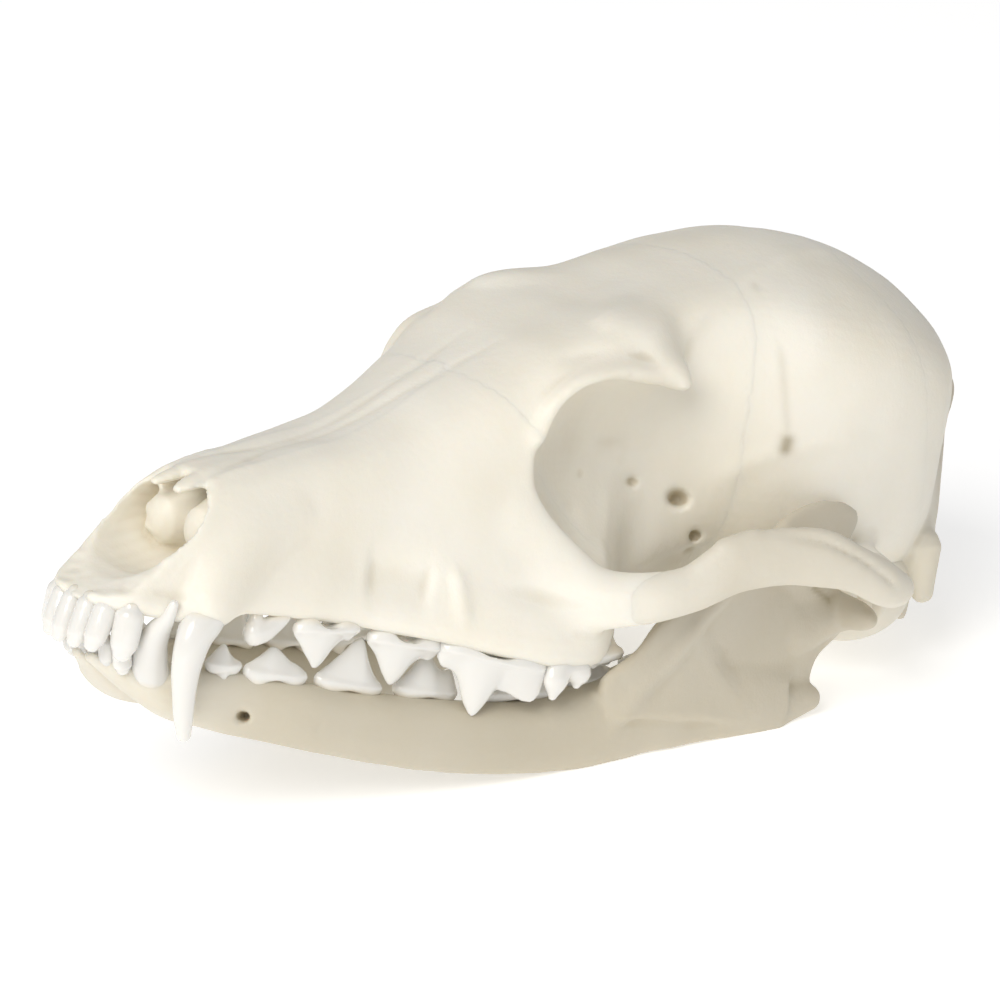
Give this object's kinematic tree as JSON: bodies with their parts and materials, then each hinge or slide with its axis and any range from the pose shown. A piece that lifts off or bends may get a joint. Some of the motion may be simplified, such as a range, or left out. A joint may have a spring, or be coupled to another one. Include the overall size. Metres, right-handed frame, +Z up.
{
  "type": "fox skull",
  "caption": "Skull of a fox with its lower jaw closed, life-size, lying on the jaw's lower edge as it rests by itself.",
  "frame": {"origin": "on the floor under the middle of the skull's bounding box", "axes": "+X to the animal's left, +Y from the snout to the back of the head, +Z up"},
  "size_m": [0.0737, 0.151, 0.0571],
  "materials": {
    "bone": "dry cleaned bone, satin",
    "enamel": "tooth enamel, glossy"
  },
  "bodies": {
    "root": {"muzzle": "bone", "nasal_bones": "bone", "frontal": "bone", "braincase": "bone", "occiput": "bone", "zygomatic_arch_left": "bone", "zygomatic_arch_right": "bone", "auditory_bulla_left": "bone", "auditory_bulla_right": "bone", "mandible_left": "bone", "mandible_right": "bone"}
  },
  "joints": []
}
